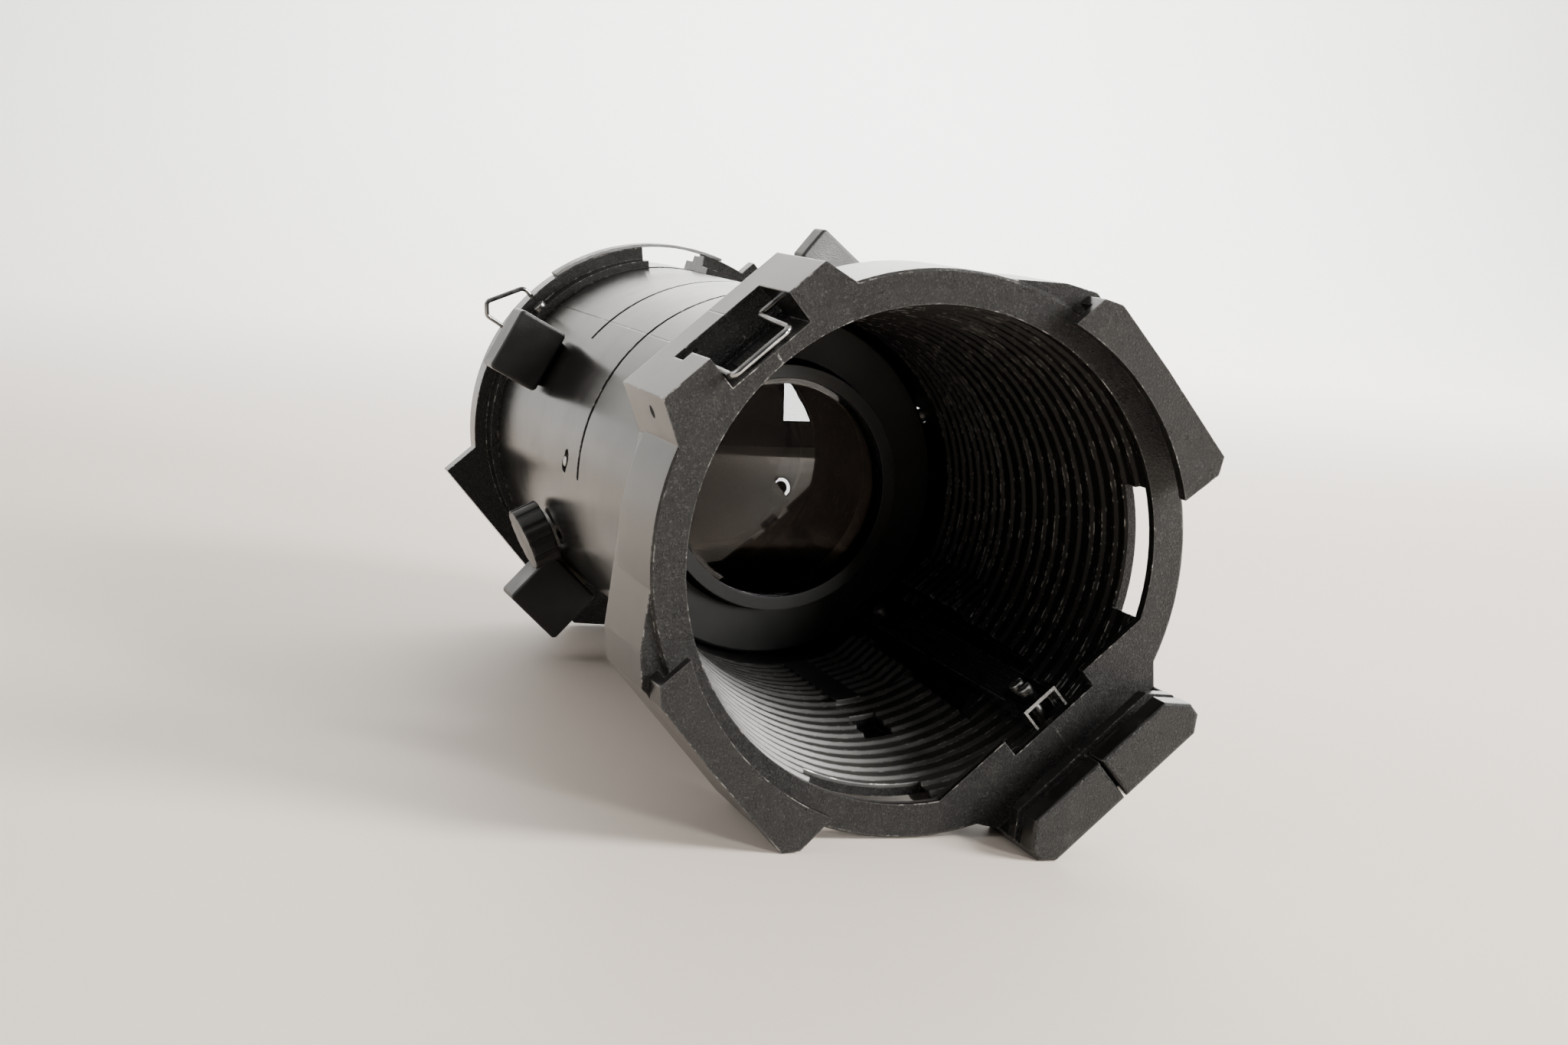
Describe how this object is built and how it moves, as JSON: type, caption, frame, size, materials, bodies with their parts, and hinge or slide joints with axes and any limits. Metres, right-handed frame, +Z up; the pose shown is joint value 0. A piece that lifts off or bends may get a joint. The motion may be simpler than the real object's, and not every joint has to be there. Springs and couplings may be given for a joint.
{
  "type": "ellipsoidal spotlight lens tube",
  "caption": "Zoom lens tube and shutter section of a stage profile spotlight, lying on its side, with framing shutters and a colour frame holder.",
  "frame": {"origin": "on the optical axis, in the plane of the rear mounting face", "axes": "+Y along the optical axis from the mouth to the rear mounting face; +Z up as the tube lies on its left side bar, bottom bar and shutter housing corner; the tube's own top points 43 degrees from +Z towards -X"},
  "size_m": [0.2035, 0.39, 0.2034],
  "materials": {
    "casting_black": "black textured coat on a die casting",
    "carriage_black": "matte black coat",
    "rail_black": "black anodised",
    "plastic_black": "moulded, slightly glossy",
    "wire_steel": "bright spring wire",
    "spring_steel": "plain spring steel",
    "screw_steel": "zinc plated",
    "blade_steel": "heat stained stainless sheet",
    "lens_glass": "polished",
    "band_grey": "worn grey strip"
  },
  "bodies": {
    "barrel": {"barrel_left": "casting_black", "barrel_right": "casting_black", "housing_plate": "casting_black", "rear_ring": "casting_black", "rear_flange": "casting_black", "guide_rail": "rail_black", "wire_loop": "wire_steel", "latch_spring": "spring_steel", "rail_clip": "spring_steel", "gate_ring": "spring_steel", "rail_screws": "screw_steel", "seam_screws": "screw_steel", "side_screw": "screw_steel", "flange_screws": "screw_steel", "collar_screws": "screw_steel", "gate_plate": "blade_steel", "ring_band": "band_grey"},
    "latch": {"latch_wire": "wire_steel"},
    "front_carriage": {"front_lens_carriage": "carriage_black", "front_lens": "lens_glass", "front_lens_retainer": "carriage_black", "front_knob_stud": "screw_steel", "front_knob_washer": "screw_steel"},
    "rear_carriage": {"rear_lens_carriage": "carriage_black", "rear_lens": "lens_glass", "rear_lens_retainer": "carriage_black", "rear_knob_stud": "screw_steel", "rear_knob_washer": "screw_steel"},
    "front_clamp_knob": {"front_knob": "plastic_black"},
    "rear_clamp_knob": {"rear_knob": "plastic_black"},
    "top_shutter": {"top_shutter_blade": "blade_steel", "top_shutter_grip": "plastic_black"},
    "left_shutter": {"left_shutter_blade": "blade_steel", "left_shutter_grip": "plastic_black"},
    "right_shutter": {"right_shutter_blade": "blade_steel", "right_shutter_grip": "plastic_black"},
    "bottom_shutter": {"bottom_shutter_blade": "blade_steel", "bottom_shutter_grip": "plastic_black"}
  },
  "joints": [
    {"name": "latch_lift", "type": "hinge", "parent": "barrel", "child": "latch", "pos_m": [-0.07081, -0.339, 0.06933], "axis": [-0.7314, 0, -0.682], "range_deg": [0, 50], "stiffness_Nm_per_rad": 0.02},
    {"name": "front_focus", "type": "slide", "parent": "barrel", "child": "front_carriage", "axis": [0, 1, 0], "range_m": [0, 0.033]},
    {"name": "rear_focus", "type": "slide", "parent": "barrel", "child": "rear_carriage", "axis": [0, 1, 0], "range_m": [-0.012, 0.01]},
    {"name": "front_clamp_turn", "type": "hinge", "parent": "front_carriage", "child": "front_clamp_knob", "pos_m": [0.07251, -0.193, 0.03381], "axis": [0.9063, 0, 0.4226], "continuous": true},
    {"name": "rear_clamp_turn", "type": "hinge", "parent": "rear_carriage", "child": "rear_clamp_knob", "pos_m": [-0.07128, -0.116, -0.03632], "axis": [-0.891, 0, -0.454], "continuous": true},
    {"name": "top_shutter_slide", "type": "slide", "parent": "barrel", "child": "top_shutter", "axis": [-0.8988, 0, 0.4384], "range_m": [0, 0.033]},
    {"name": "left_shutter_slide", "type": "slide", "parent": "barrel", "child": "left_shutter", "axis": [-0.6626, 0, -0.749], "range_m": [0, 0.033]},
    {"name": "right_shutter_slide", "type": "slide", "parent": "barrel", "child": "right_shutter", "axis": [0.6018, 0, 0.7986], "range_m": [-0.02, 0.013]},
    {"name": "bottom_shutter_slide", "type": "slide", "parent": "barrel", "child": "bottom_shutter", "axis": [0.8192, 0, -0.5736], "range_m": [0, 0.033]}
  ]
}
